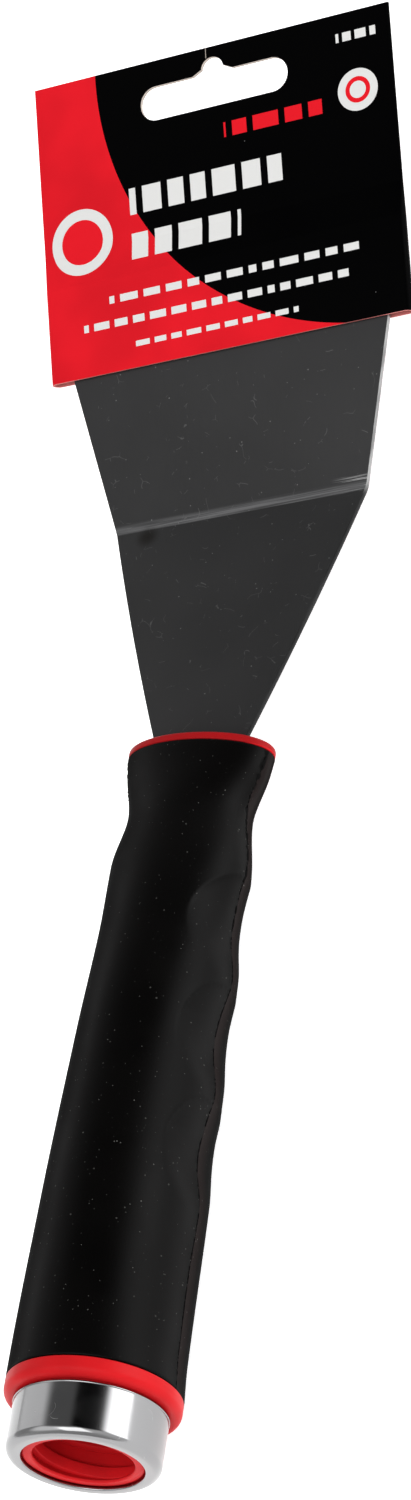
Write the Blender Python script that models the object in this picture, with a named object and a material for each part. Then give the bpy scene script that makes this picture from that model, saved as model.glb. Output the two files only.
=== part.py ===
"""Pole scraper: a bent three inch blade in a moulded handle with a pole socket, and the hang card on its edge.

The origin is the centre of the socket's floor, where the pole's end seats. +Y runs along the handle to the blade,
+Z is the side that the blade bends to, and +X is the finger side of the grip.
"""

import math
from collections import namedtuple

import bmesh
import bpy

MM = 0.001
GAP = 0.3 * MM  # clearance between neighbouring pieces
CUT_MARGIN = 1 * MM  # how far a cutter runs past the face that it opens
SIDES = 48  # facets round the handle
ARC_STEPS = 8  # facets along a half turn of a small round

# Pole socket and butt
SOCKET_RADIUS = 9.7 * MM  # clears the crests of a 3/4 inch pole thread
SOCKET_DEPTH = 38 * MM  # from the ferrule's rim to the floor
FLOOR_FILLET = 0.9 * MM
MOUTH_CHAMFER = 0.9 * MM
SPIGOT_WALL = 2.5 * MM  # core wall inside the ferrule
FERRULE_WALL = 0.6 * MM
FERRULE_LENGTH = 9.4 * MM
FERRULE_LIP = 2.8 * MM  # how far the rim turns in from the outside
FERRULE_ROUND = 1.5 * MM  # outer edge of the rim
FERRULE_EDGE = 0.3 * MM  # the sheet's own rounded edges
FLANGE_STEP = 1.8 * MM  # the flange stands this much proud of the ferrule
FLANGE_LENGTH = 3.1 * MM
FLANGE_ROUND = 1.4 * MM

# Handle
HANDLE_LENGTH = 140 * MM  # rim to the front of the collar
GRIP_WALL = 3.0 * MM
GRIP_ROUND = 0.5 * MM  # ends of the grip
GRIP_RINGS = 52
CORE_RINGS = 12
COLLAR_LENGTH = 2.4 * MM
COLLAR_DOME = 1.4 * MM  # how far its front stands out in a low dome
COLLAR_DOME_WIDTH = 4 * MM  # from its outline to the top of the dome
COLLAR_PALM_BORDER = 5.6 * MM  # collar beyond the blade's root on the palm side
COLLAR_FINGER_BORDER = 6.3 * MM  # and on the finger side, where it stops the hand
COLLAR_HEIGHT = 6.45 * MM  # collar above and below the blade
COLLAR_SLANT = math.radians(3)  # the collar and the grip's front end lean back on the finger side

# Grip shape. A station's place is in front of the grip's start, or if negative behind the collar. Its palm side,
# finger side and thickness are how far each half size falls below the flange's radius.
Station = namedtuple("Station", "place palm finger thick")
HEEL = Station(place=7 * MM, palm=0.1 * MM, finger=0.6 * MM, thick=-0.2 * MM)
BELLY = Station(place=32 * MM, palm=0.9 * MM, finger=1.15 * MM, thick=-0.5 * MM)
WAIST = Station(place=-60 * MM, palm=1.7 * MM, finger=1.6 * MM, thick=0.8 * MM)
HOLLOW = Station(place=-39 * MM, palm=2.1 * MM, finger=1.5 * MM, thick=2.9 * MM)
SHOULDER = Station(place=-26 * MM, palm=1.6 * MM, finger=1.4 * MM, thick=4.5 * MM)
NECK = Station(place=-14 * MM, palm=3.1 * MM, finger=2.6 * MM, thick=6.2 * MM)
FLARE = Station(place=-4 * MM, palm=0.9 * MM, finger=0.15 * MM, thick=7.55 * MM)

# Finger scoops on the +X side
SCOOP_COUNT = 3
SCOOP_PITCH = 22.2 * MM
SCOOP_HALF_LENGTH = 11.3 * MM
SCOOP_HALF_ANGLE = math.radians(50)
SCOOP_DEPTH = 0.95 * MM
SCOOP_EDGE = 1.2  # 1 is a crisp edge, 2 a soft one
FIRST_SCOOP_BACK = 37.3 * MM  # its centre behind the collar

# Blade, along its middle surface
BLADE_THICKNESS = 1.2 * MM
EDGE_BREAK = 0.15 * MM
ROOT_HALF_WIDTH = 9 * MM  # where it leaves the collar
BEND_HALF_WIDTH = 26.8 * MM
EDGE_HALF_WIDTH = 38.1 * MM  # three inches
LOWER_LENGTH = 54.3 * MM  # collar to the bend
LOWER_BOW = 0.5 * MM  # the lower sides curve out this much half way up
LOWER_STEPS = 6
UPPER_LENGTH = 50.3 * MM  # bend to the scraping edge
BEND_ANGLE = math.radians(25.4)
BEND_RADIUS = 4.5 * MM
BEND_STEPS = 8
GRIND_LENGTH = 4 * MM
GRIND_THICKNESS = 0.6 * MM
TANG_HALF_WIDTH = 6 * MM
TANG_LENGTH = 64 * MM
TANG_CORNER = 4 * MM  # rounding of the tang's end
TANG_SHOULDER = 1.4 * MM  # depth of the root inside the collar
TANG_SLOPE = 1.5 * MM  # length of the sloped shoulder
TANG_HOLE_COUNT = 2
TANG_HOLE_RADIUS = 2.2 * MM
TANG_HOLE_PITCH = 24 * MM
FIRST_TANG_HOLE = 22 * MM  # from the collar's front

# Hang card, a flat sleeve of folded board
BOARD = 0.55 * MM
CARD_HEIGHT = 61.1 * MM
CARD_OVERLAP = 18.4 * MM  # how much of the blade it covers
CARD_PINCH = 7 * MM  # length over which the two sheets come together
PINCH_STEPS = 6
GLUE_LINE = 0.12 * MM  # half the space between the sheets where the glue starts
SLOT_HALF_LENGTH = 16.1 * MM
SLOT_HALF_HEIGHT = 3.45 * MM
SLOT_CENTRE = 0.8 * MM  # off the card's middle, towards +X
SLOT_DROP = 8.7 * MM  # from the card's top edge
HUMP_HALF_WIDTH = 2.4 * MM
HUMP_SPREAD = 2.0 * MM  # each side, at its foot
HUMP_HEIGHT = 3.1 * MM

# Worked out from the sizes above
SPIGOT_RADIUS = SOCKET_RADIUS + SPIGOT_WALL
FERRULE_RADIUS = SPIGOT_RADIUS + GAP + FERRULE_WALL
FLANGE_RADIUS = FERRULE_RADIUS + FLANGE_STEP
CORE_START = FERRULE_WALL + GAP
FLANGE_AT = FERRULE_LENGTH + GAP
GRIP_START = FLANGE_AT + FLANGE_LENGTH + GAP
COLLAR_AT = HANDLE_LENGTH - COLLAR_LENGTH
GRIP_END = COLLAR_AT - GAP
COLLAR_PALM = ROOT_HALF_WIDTH + COLLAR_PALM_BORDER
COLLAR_FINGER = ROOT_HALF_WIDTH + COLLAR_FINGER_BORDER
COLLAR_THICK = BLADE_THICKNESS / 2 + COLLAR_HEIGHT
BEND_AT = HANDLE_LENGTH + LOWER_LENGTH
BEND_TANGENT = BEND_RADIUS * math.tan(BEND_ANGLE / 2)
BEND_ARC = BEND_RADIUS * BEND_ANGLE
# On the blade's flat pattern
TANG_TIP = HANDLE_LENGTH - TANG_LENGTH
SHOULDER_TOP = HANDLE_LENGTH - TANG_SHOULDER
SHOULDER_FOOT = SHOULDER_TOP - TANG_SLOPE
BEND_START = BEND_AT - BEND_TANGENT
BEND_MIDDLE = BEND_START + BEND_ARC / 2
BEND_END = BEND_START + BEND_ARC
EDGE_AT = BEND_END + UPPER_LENGTH - BEND_TANGENT


def clear_scene():
    for item in list(bpy.data.objects):
        bpy.data.objects.remove(item, do_unlink=True)


def make_material(name, colour, roughness, metallic=0.0):
    material = bpy.data.materials.new(name)
    material.use_nodes = True
    shader = material.node_tree.nodes["Principled BSDF"]
    shader.inputs["Base Color"].default_value = (*colour, 1)
    shader.inputs["Roughness"].default_value = roughness
    shader.inputs["Metallic"].default_value = metallic
    return material


def make_empty(name, parent=None, location=(0, 0, 0), tilt=0.0):
    """A place to hang pieces from, tilted about X."""
    empty = bpy.data.objects.new(name, None)
    empty.parent = parent
    empty.location = location
    empty.rotation_euler = (tilt, 0, 0)
    bpy.context.scene.collection.objects.link(empty)
    return empty


def mesh_of_rings(name, rings, joined=False):
    """Skins a row of rings with equal point counts. The row's ends are capped, or joined to each other."""
    mesh = bmesh.new()
    rows = [[mesh.verts.new(point) for point in ring] for ring in rings]
    count = len(rows[0])
    pairs = list(zip(rows, rows[1:]))
    if joined:
        pairs.append((rows[-1], rows[0]))
    for low, high in pairs:
        for i in range(count):
            j = (i + 1) % count
            mesh.faces.new((low[i], low[j], high[j], high[i]))
    if not joined:
        mesh.faces.new(rows[0])
        mesh.faces.new(rows[-1])
    bmesh.ops.recalc_face_normals(mesh, faces=mesh.faces)
    data = bpy.data.meshes.new(name)
    mesh.to_mesh(data)
    mesh.free()
    return data


def add_piece(name, data, parent, material):
    piece = bpy.data.objects.new(name, data)
    piece.parent = parent
    data.materials.append(material)
    data.shade_smooth()
    data.set_sharp_from_angle(angle=math.radians(35))
    bpy.context.scene.collection.objects.link(piece)
    return piece


def add_cutter(name, rings, parent):
    cutter = bpy.data.objects.new(name, mesh_of_rings(name, rings))
    cutter.parent = parent
    cutter.hide_render = True
    cutter.display_type = "WIRE"
    bpy.context.scene.collection.objects.link(cutter)
    return cutter


def cut(piece, cutter):
    modifier = piece.modifiers.new(cutter.name, "BOOLEAN")
    modifier.operation = "DIFFERENCE"
    modifier.solver = "EXACT"
    modifier.object = cutter


def smooth_value(stations, place):
    """A cubic through (place, value) stations that never overshoots, level beyond both ends."""
    places = [station[0] for station in stations]
    values = [station[1] for station in stations]
    if place <= places[0]:
        return values[0]
    if place >= places[-1]:
        return values[-1]
    steps = [b - a for a, b in zip(places, places[1:])]
    slopes = [(b - a) / step for a, b, step in zip(values, values[1:], steps)]
    tangents = [slopes[0]]
    for before, after in zip(slopes, slopes[1:]):
        level = before * after <= 0
        tangents.append(0.0 if level else 2 * before * after / (before + after))
    tangents.append(slopes[-1])
    k = max(i for i in range(len(steps)) if places[i] <= place)
    t = (place - places[k]) / steps[k]
    rise = values[k] + (values[k + 1] - values[k]) * t * t * (3 - 2 * t)
    lean = tangents[k] * t * (1 - t) ** 2 - tangents[k + 1] * t * t * (1 - t)
    return rise + steps[k] * lean


def spread(start, end, count):
    """Evenly spaced places from start to end, both included, count steps apart."""
    return [start + (end - start) * k / count for k in range(count + 1)]


def grip_size(along):
    """Palm side, finger side and thickness of the grip's oval, before the scoops are cut."""
    collar = {"palm": COLLAR_PALM, "finger": COLLAR_FINGER, "thick": COLLAR_THICK}
    sizes = []
    for side, end_size in collar.items():
        line = [(GRIP_START, FLANGE_RADIUS)]
        for station in (HEEL, BELLY, WAIST, HOLLOW, SHOULDER, NECK, FLARE):
            origin = GRIP_START if station.place > 0 else COLLAR_AT
            line.append((origin + station.place, FLANGE_RADIUS - getattr(station, side)))
        line.append((GRIP_END, end_size))
        sizes.append(smooth_value(line, along))
    return sizes


def core_size(along):
    """The core's oval under the grip, one grip wall and a clearance inside it."""
    return [size - GRIP_WALL - GAP for size in grip_size(along)]


def scoop_depth(along, angle):
    """How deep the finger scoops lie at a place on the grip. Angle 0 is the middle of the finger side."""
    turn = math.remainder(angle, math.tau) / SCOOP_HALF_ANGLE
    depth = 0.0
    for i in range(SCOOP_COUNT):
        centre = COLLAR_AT - FIRST_SCOOP_BACK - i * SCOOP_PITCH
        reach = 1 - ((along - centre) / SCOOP_HALF_LENGTH) ** 2 - turn**2
        if reach > 0:
            depth = max(depth, SCOOP_DEPTH * reach**SCOOP_EDGE)
    return depth


def slant(along):
    """How far a ring at this place leans back towards the finger side: square at the neck, full at the front."""
    return smooth_value(((COLLAR_AT + NECK.place, 0), (GRIP_END - GRIP_ROUND, math.tan(COLLAR_SLANT))), along)


def oval(along, palm, finger, thick, scooped=False):
    """A ring across the handle: half an ellipse on each side of the middle plane."""
    lean = slant(along)
    ring = []
    for i in range(SIDES):
        angle = math.tau * i / SIDES
        side = finger if math.cos(angle) > 0 else palm
        x, z = side * math.cos(angle), thick * math.sin(angle)
        shrink = 1 - scoop_depth(along, angle) / math.hypot(x, z) if scooped else 1
        ring.append((x * shrink, along - lean * x * shrink, z * shrink))
    return ring


def circle(along, radius):
    return oval(along, radius, radius, radius)


def quarter(centre, radius, start, height=None):
    """Points of a quarter turn, as (out, along) pairs, from the start angle. A height makes it elliptical."""
    out, along = centre
    height = height or radius
    turns = spread(start, start + math.pi / 2, ARC_STEPS // 2)
    return [(out + radius * math.cos(turn), along + height * math.sin(turn)) for turn in turns]


def make_ferrule(rim, material):
    """A pressed cap: a short tube whose rim turns in round the pole's hole."""
    inside = FERRULE_RADIUS - FERRULE_WALL
    hole = FERRULE_RADIUS - FERRULE_LIP
    edge = FERRULE_EDGE
    profile = quarter((hole + edge, edge), edge, math.pi)
    profile += quarter((FERRULE_RADIUS - FERRULE_ROUND, FERRULE_ROUND), FERRULE_ROUND, 1.5 * math.pi)
    profile += quarter((FERRULE_RADIUS - edge, FERRULE_LENGTH - edge), edge, 0)
    profile.append((inside, FERRULE_LENGTH))
    inner_round = FERRULE_ROUND - FERRULE_WALL
    corner = (inside - inner_round, FERRULE_ROUND)
    profile += reversed(quarter(corner, inner_round, 1.5 * math.pi))
    profile.append((hole, FERRULE_WALL))
    rings = [circle(along, radius) for radius, along in profile]
    return add_piece("ferrule", mesh_of_rings("ferrule", rings, joined=True), rim, material)


def make_core(rim, material):
    """The moulding that holds everything: spigot, flange, the body under the grip, and the collar."""
    flange_end = FLANGE_AT + FLANGE_LENGTH
    corner = (FLANGE_RADIUS - FLANGE_ROUND, FLANGE_AT + FLANGE_ROUND)
    spigot_round = FERRULE_ROUND - CORE_START
    spigot_corner = (SPIGOT_RADIUS - spigot_round, FERRULE_ROUND)
    rings = [circle(along, out) for out, along in quarter(spigot_corner, spigot_round, 1.5 * math.pi)]
    rings.append(circle(FLANGE_AT, SPIGOT_RADIUS))
    rings += [circle(along, out) for out, along in quarter(corner, FLANGE_ROUND, 1.5 * math.pi)]
    rings.append(circle(flange_end, FLANGE_RADIUS))
    rings += [oval(place, *core_size(place)) for place in spread(flange_end, COLLAR_AT, CORE_RINGS)]
    collar = (COLLAR_PALM, COLLAR_FINGER, COLLAR_THICK)
    rings.append(oval(COLLAR_AT, *collar))
    dome = quarter((-COLLAR_DOME_WIDTH, HANDLE_LENGTH - COLLAR_DOME), COLLAR_DOME_WIDTH, 0, COLLAR_DOME)
    rings += [oval(along, *(size + out for size in collar)) for out, along in dome]
    core = add_piece("handle_core", mesh_of_rings("handle_core", rings), rim, material)
    cut(core, socket_cutter(rim))
    cut(core, pocket_cutter(rim))
    return core


def socket_cutter(rim):
    """The pole's hole, wider at its mouth and rounded off at its floor."""
    profile = (
        (CORE_START - CUT_MARGIN, SOCKET_RADIUS + MOUTH_CHAMFER),
        (CORE_START, SOCKET_RADIUS + MOUTH_CHAMFER),
        (CORE_START + MOUTH_CHAMFER, SOCKET_RADIUS),
        (SOCKET_DEPTH - FLOOR_FILLET, SOCKET_RADIUS),
        (SOCKET_DEPTH, SOCKET_RADIUS - FLOOR_FILLET),
    )
    return add_cutter("socket_cutter", [circle(along, radius) for along, radius in profile], rim)


def blade_half_width(along):
    """Half the blade's width at a place on its flat pattern."""
    if along <= SHOULDER_FOOT:
        return TANG_HALF_WIDTH
    if along <= SHOULDER_TOP:
        return TANG_HALF_WIDTH + (ROOT_HALF_WIDTH - TANG_HALF_WIDTH) * (along - SHOULDER_FOOT) / TANG_SLOPE
    if along <= HANDLE_LENGTH:
        return ROOT_HALF_WIDTH
    if along <= BEND_MIDDLE:
        share = (along - HANDLE_LENGTH) / (BEND_MIDDLE - HANDLE_LENGTH)
        straight = ROOT_HALF_WIDTH + (BEND_HALF_WIDTH - ROOT_HALF_WIDTH) * share
        return straight + 4 * LOWER_BOW * share * (1 - share)
    share = (along - BEND_MIDDLE) / (EDGE_AT - BEND_MIDDLE)
    return BEND_HALF_WIDTH + (EDGE_HALF_WIDTH - BEND_HALF_WIDTH) * share


def on_blade(x, along, lift):
    """The point at a place on the flat pattern and a height above it, once the blade is bent."""
    turned = min(max((along - BEND_START) / BEND_RADIUS, 0), BEND_ANGLE)
    past = max(along - BEND_END, 0)
    forward, up = math.cos(turned), math.sin(turned)
    y = min(along, BEND_START) + BEND_RADIUS * up + past * forward
    z = BEND_RADIUS * (1 - forward) + past * up
    return (x, y - lift * up, z + lift * forward)


def plate_ring(along, half_width, half_thickness):
    """A ring across the blade: a thin rectangle with broken corners."""
    w, t = half_width, half_thickness
    inner_w, inner_t = w - EDGE_BREAK, t - EDGE_BREAK
    flat = (
        (w, -inner_t), (w, inner_t), (inner_w, t), (-inner_w, t),
        (-w, inner_t), (-w, -inner_t), (-inner_w, -t), (inner_w, -t),
    )
    return [on_blade(x, along, lift) for x, lift in flat]


def tang_pins(rim, name, radius):
    """Upright round bars at the tang's holes: wide ones cut the holes, thinner ones leave the core's pegs."""
    turns = spread(0, math.tau, SIDES // 2)[:-1]
    pins = []
    for number in range(TANG_HOLE_COUNT):
        place = HANDLE_LENGTH - FIRST_TANG_HOLE - number * TANG_HOLE_PITCH
        half_height = BLADE_THICKNESS / 2 + GAP + CUT_MARGIN
        rings = [
            [(radius * math.cos(turn), place + radius * math.sin(turn), z) for turn in turns]
            for z in (-half_height, half_height)
        ]
        pins.append(add_cutter(f"{name}_{number}", rings, rim))
    return pins


def make_blade(rim, material):
    """Root, bend and scraping edge outside the handle, and the tang with its holes inside."""
    half = BLADE_THICKNESS / 2
    rings = []
    for turn in spread(0, math.pi / 2, ARC_STEPS):
        half_width = TANG_HALF_WIDTH - TANG_CORNER * (1 - math.sin(turn))
        rings.append(plate_ring(TANG_TIP + TANG_CORNER * (1 - math.cos(turn)), half_width, half))
    places = [SHOULDER_FOOT, SHOULDER_TOP]
    places += spread(HANDLE_LENGTH, BEND_START, LOWER_STEPS)[:-1]
    places += spread(BEND_START, BEND_END, BEND_STEPS)
    places.append(EDGE_AT - GRIND_LENGTH)
    rings += [plate_ring(place, blade_half_width(place), half) for place in places]
    rings.append(plate_ring(EDGE_AT, EDGE_HALF_WIDTH, GRIND_THICKNESS / 2))
    blade = add_piece("blade", mesh_of_rings("blade", rings), rim, material)
    for pin in tang_pins(rim, "tang_hole", TANG_HOLE_RADIUS):
        cut(blade, pin)
    return blade


def pocket_cutter(rim):
    """The room for the tang in the core, leaving a peg in each of its holes."""
    half = BLADE_THICKNESS / 2 + GAP
    stations = (
        (TANG_TIP - GAP, TANG_HALF_WIDTH),
        (SHOULDER_FOOT - GAP, TANG_HALF_WIDTH),
        (SHOULDER_TOP - GAP, ROOT_HALF_WIDTH),
        (HANDLE_LENGTH + CUT_MARGIN, ROOT_HALF_WIDTH),
    )
    rings = [plate_ring(place, width + GAP, half) for place, width in stations]
    pocket = add_cutter("pocket_cutter", rings, rim)
    for pin in tang_pins(rim, "peg", TANG_HOLE_RADIUS - GAP):
        cut(pocket, pin)
    return pocket


def make_grip(rim, material):
    """The soft overmould: an oval shell with a belly, a neck and finger scoops."""
    first, last = GRIP_START + GRIP_ROUND, GRIP_END - GRIP_ROUND
    rings = []
    for out, along in quarter((-GRIP_ROUND, first), GRIP_ROUND, 1.5 * math.pi):
        rings.append(oval(along, *(size + out for size in grip_size(first))))
    for place in spread(first, last, GRIP_RINGS)[1:-1]:
        rings.append(oval(place, *grip_size(place), scooped=True))
    for out, along in quarter((-GRIP_ROUND, last), GRIP_ROUND, 0):
        rings.append(oval(along, *(size + out for size in grip_size(last))))
    for place in spread(GRIP_END, GRIP_START, CORE_RINGS):
        rings.append(oval(place, *(size + GAP for size in core_size(place))))
    return add_piece("grip", mesh_of_rings("grip", rings, joined=True), rim, material)


def card_ring(along, half_width, half_thickness):
    """A ring across the card: flat faces with a round fold at each side."""
    ring = []
    for side in (1, -1):
        for turn in spread(-math.pi / 2, math.pi / 2, ARC_STEPS):
            out = half_width - half_thickness * (1 - math.cos(turn))
            ring.append((side * out, along, side * half_thickness * math.sin(turn)))
    return ring


def slot_outline():
    """A hang slot: long with round ends, and a round-topped hump on sloped flanks in its upper edge."""
    middle = SLOT_HALF_LENGTH - SLOT_HALF_HEIGHT
    foot = HUMP_HALF_WIDTH + HUMP_SPREAD
    hump_middle = SLOT_HALF_HEIGHT + HUMP_HEIGHT - HUMP_HALF_WIDTH
    points = []
    for turn in spread(-math.pi / 2, math.pi / 2, 2 * ARC_STEPS):
        points.append((middle + SLOT_HALF_HEIGHT * math.cos(turn), SLOT_HALF_HEIGHT * math.sin(turn)))
    points.append((foot, SLOT_HALF_HEIGHT))
    for turn in spread(0, math.pi, ARC_STEPS):
        points.append((HUMP_HALF_WIDTH * math.cos(turn), hump_middle + HUMP_HALF_WIDTH * math.sin(turn)))
    points.append((-foot, SLOT_HALF_HEIGHT))
    for turn in spread(math.pi / 2, 1.5 * math.pi, 2 * ARC_STEPS):
        points.append((-middle + SLOT_HALF_HEIGHT * math.cos(turn), SLOT_HALF_HEIGHT * math.sin(turn)))
    return points


def make_card(path, material):
    """A sleeve open at the bottom, pinched together above the blade's edge, with its hang slot."""
    mouth = UPPER_LENGTH - CARD_OVERLAP
    top = mouth + CARD_HEIGHT
    room = BLADE_THICKNESS / 2 + GAP
    half_width = EDGE_HALF_WIDTH + GAP + BOARD
    open_until = UPPER_LENGTH + GAP
    closed_from = open_until + CARD_PINCH
    closing = spread(open_until, closed_from, PINCH_STEPS)

    outside = ((open_until, room + BOARD), (closed_from, BOARD))
    rings = [card_ring(place, half_width, smooth_value(outside, place)) for place in [mouth, *closing, top]]
    card = add_piece("hang_card", mesh_of_rings("hang_card", rings), path, material)

    inside = ((open_until, room), (closed_from, GLUE_LINE))
    places = [mouth - CUT_MARGIN, *closing]
    hollow = [card_ring(place, half_width - BOARD, smooth_value(inside, place)) for place in places]
    cut(card, add_cutter("sleeve_cutter", hollow, path))

    depth = BOARD + CUT_MARGIN
    slot = [[(SLOT_CENTRE + x, top - SLOT_DROP + y, z) for x, y in slot_outline()] for z in (-depth, depth)]
    cut(card, add_cutter("slot_cutter", slot, path))
    return card


def build_scraper():
    clear_scene()
    steel = make_material("spring_steel", (0.05, 0.05, 0.05), 0.4, 1.0)
    red = make_material("red_plastic", (0.7, 0.01, 0.015), 0.35)
    black = make_material("black_overmould", (0.012, 0.011, 0.011), 0.55)
    chrome = make_material("chrome", (0.8, 0.8, 0.8), 0.08, 1.0)
    board = make_material("printed_board", (0.6, 0.02, 0.02), 0.35)
    rim = make_empty("rim", location=(0, -SOCKET_DEPTH, 0))
    card_path = make_empty("card_path", rim, (0, BEND_AT, 0), BEND_ANGLE)
    make_blade(rim, steel)
    make_core(rim, red)
    make_grip(rim, black)
    make_ferrule(rim, chrome)
    make_card(card_path, board)


build_scraper()
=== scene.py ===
"""Pole scraper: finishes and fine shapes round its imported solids, laid out as a Blender add-on."""

import math

import bmesh
import bpy
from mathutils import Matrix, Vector


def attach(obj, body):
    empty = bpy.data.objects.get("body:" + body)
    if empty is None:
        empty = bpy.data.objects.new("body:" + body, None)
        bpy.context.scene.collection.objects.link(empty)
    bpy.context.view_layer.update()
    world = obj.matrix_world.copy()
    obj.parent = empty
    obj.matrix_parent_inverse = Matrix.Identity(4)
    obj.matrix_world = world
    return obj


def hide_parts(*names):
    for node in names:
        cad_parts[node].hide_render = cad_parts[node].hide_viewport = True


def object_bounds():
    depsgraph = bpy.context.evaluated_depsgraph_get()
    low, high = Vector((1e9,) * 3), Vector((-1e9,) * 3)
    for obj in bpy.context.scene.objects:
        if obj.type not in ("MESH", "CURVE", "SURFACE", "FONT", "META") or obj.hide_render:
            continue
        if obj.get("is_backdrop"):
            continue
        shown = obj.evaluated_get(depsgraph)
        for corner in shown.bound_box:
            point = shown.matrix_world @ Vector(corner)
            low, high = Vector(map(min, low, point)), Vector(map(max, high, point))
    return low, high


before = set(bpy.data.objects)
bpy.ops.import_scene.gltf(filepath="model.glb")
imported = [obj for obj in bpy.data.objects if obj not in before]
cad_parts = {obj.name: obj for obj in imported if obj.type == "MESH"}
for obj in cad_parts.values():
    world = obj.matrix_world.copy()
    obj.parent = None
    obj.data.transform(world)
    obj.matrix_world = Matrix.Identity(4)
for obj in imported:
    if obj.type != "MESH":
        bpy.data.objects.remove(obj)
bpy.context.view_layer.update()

bl_info = {
    "name": "Pole Scraper",
    "version": (1, 0, 0),
    "blender": (4, 5, 0),
    "location": "3D View > Sidebar > Scraper",
    "description": "Builds a bent scraper with a moulded grip, a butt socket for a pole and a hang card",
    "category": "Add Mesh",
}

MM = 0.001

# Places along the handle, measured from the butt's rim, which lies this far behind the origin
RIM = 38 * MM
FLANGE_AT = 9.7 * MM
FLANGE_END = 12.8 * MM
COLLAR_AT = 137.6 * MM
HANDLE_END = 140 * MM
BEND_AT = 194.3 * MM

# The butt
FERRULE_RADIUS = 13.1 * MM
FERRULE_LENGTH = 9.4 * MM
FERRULE_WALL = 0.6 * MM
FERRULE_ROUND = 1.5 * MM
FERRULE_LIP = 2.8 * MM  # how far the cap's rim turns in
BEAD_PROUD = 0.12 * MM  # how far the cap's bead stands out from its wall
SPIGOT_RADIUS = 12.45 * MM
SPIGOT_ROUND = 0.5 * MM
SOCKET_ROUND = 0.9 * MM
LIP_AT = 0.66 * MM  # the moulding's lip round the socket lies this far inside the cap
LIP_FLAT = 9.85 * MM  # the lip is flat up to this radius
LIP_ROUND = 0.4 * MM
FLANGE_RADIUS = 14.9 * MM
FLANGE_ROUND = 1.4 * MM
FLANGE_EDGE = 0.3 * MM

# The collar, and what lies under the grip
COLLAR_SIZES = (14.6 * MM, 15.3 * MM, 7.05 * MM)  # palm side, finger side, thickness
COLLAR_EDGE = 0.25 * MM
COLLAR_DOME = (4 * MM, 1.4 * MM)  # width and height
COLLAR_SLANT = math.radians(5)
GRIP_WALL = 3.3 * MM
GRIP_EDGE = 0.35 * MM
CONTACT = 0.04 * MM  # how close the finished surfaces of touching pieces lie

# The grip's parting line and finger scoops
SEAM_LIFT = 1.6 * MM  # the line rises this much where the grip flares at the collar
SEAM_SAG = 1.3 * MM  # and sags this much at each ridge between two finger scoops
FIRST_SCOOP = COLLAR_AT - 37.9 * MM  # middle of the scoop next to the collar
LAST_RIDGE = 2.5  # scoop pitches from there to the last ridge
SCOOP_LEAN = 0.25  # a scoop's upper side lies nearer the butt by this share of its height
SCOOP_ABOVE = 9.4 * MM  # the scoops reach this far above the grip's middle plane
SCOOP_BELOW = 13.0 * MM  # and this far below it

# The blade's ground front, and its tang inside the handle
GROUND = 4 * MM
EDGE_STEPS = ((0.2 * MM, 0.33 * MM), (0, 0.25 * MM))  # distance from the edge, half thickness
TANG_TIP = HANDLE_END - 64 * MM
TANG_SHOULDER = HANDLE_END - 1.4 * MM
TANG_SLOPE = 1.5 * MM  # it widens to the blade's root over this length
TANG_HALF_WIDTH = 6 * MM
TANG_CORNER = 4 * MM
TANG_HOLES = (HANDLE_END - 22 * MM, HANDLE_END - 46 * MM)
TANG_HOLE_RADIUS = 2.2 * MM

# The grip's oval: distance from the butt's rim, palm side, finger side, thickness
GRIP_STATIONS = (
    (13.1, 14.9, 14.9, 14.9),
    (20.1, 14.8, 14.3, 15.1),
    (45.1, 14.0, 13.75, 15.4),
    (77.6, 13.2, 13.3, 14.1),
    (98.6, 12.8, 13.4, 12.0),
    (111.6, 13.3, 13.5, 10.4),
    (113.6, 13.35, 13.4, 10.13),
    (123.6, 11.8, 12.3, 8.7),
    (133.6, 14.0, 14.75, 7.35),
    (137.3, 14.6, 15.3, 7.05),
)

# Printed lines on the card: middle across, half length, middle up, half height, block, gap
WHITE_LINES = (
    (-2.2, 17.0, 65.6, 2.7, 5.2, 1.5),
    (-7.2, 12.0, 56.4, 2.7, 5.6, 1.5),
    (2.5, 27.0, 46.4, 0.75, 4.4, 1.3),
    (-1.5, 29.0, 41.6, 0.75, 4.0, 1.2),
    (-2.0, 18.0, 36.6, 0.55, 3.6, 1.1),
    (31.7, 4.2, 88.2, 0.9, 2.6, 0.8),
)
RED_LINES = ((13.0, 10.6, 75.6, 1.5, 5.4, 1.4),)
TEAR = ((-0.35, 0.06, 92.0, 1.15, 50.0, 0.0),)


# Settings


def length(name, about, default, precision=4, **limits):
    return bpy.props.FloatProperty(
        name=name, description=about, default=default * MM, precision=precision, subtype="DISTANCE",
        unit="LENGTH", **{limit: value * MM for limit, value in limits.items()})


class ScraperHandle(bpy.types.PropertyGroup):
    """Sizes of the moulded handle"""

    scoop_depth: length("Scoop Depth", "How deep a finger scoop is at its middle", 0.95, min=0, max=2)
    scoop_pitch: length("Scoop Pitch", "Distance between the middles of two scoops", 22.2, min=10)
    scoop_length: length("Scoop Length", "Length of one scoop along the handle", 21.0, min=5)
    seam_width: length("Seam Width", "Width of the moulding's parting line on the grip", 0.22, 5, min=0)
    thread_pitch: length("Thread Pitch", "Rise of the pole thread in one turn", 5.08, min=1)
    thread_height: length(
        "Thread Height", "How far the thread's crest stands in from the socket's wall", 1.2, min=0.1, max=3)
    socket_radius: length(
        "Socket Radius", "Radius of the pole's socket between the thread's ridges", 9.7, min=5, max=10.5)
    bead: length(
        "Cap Bead", "Thickness of the rolled bead round the metal cap's open end", 0.5, 5, min=0.1, max=1)


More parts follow.
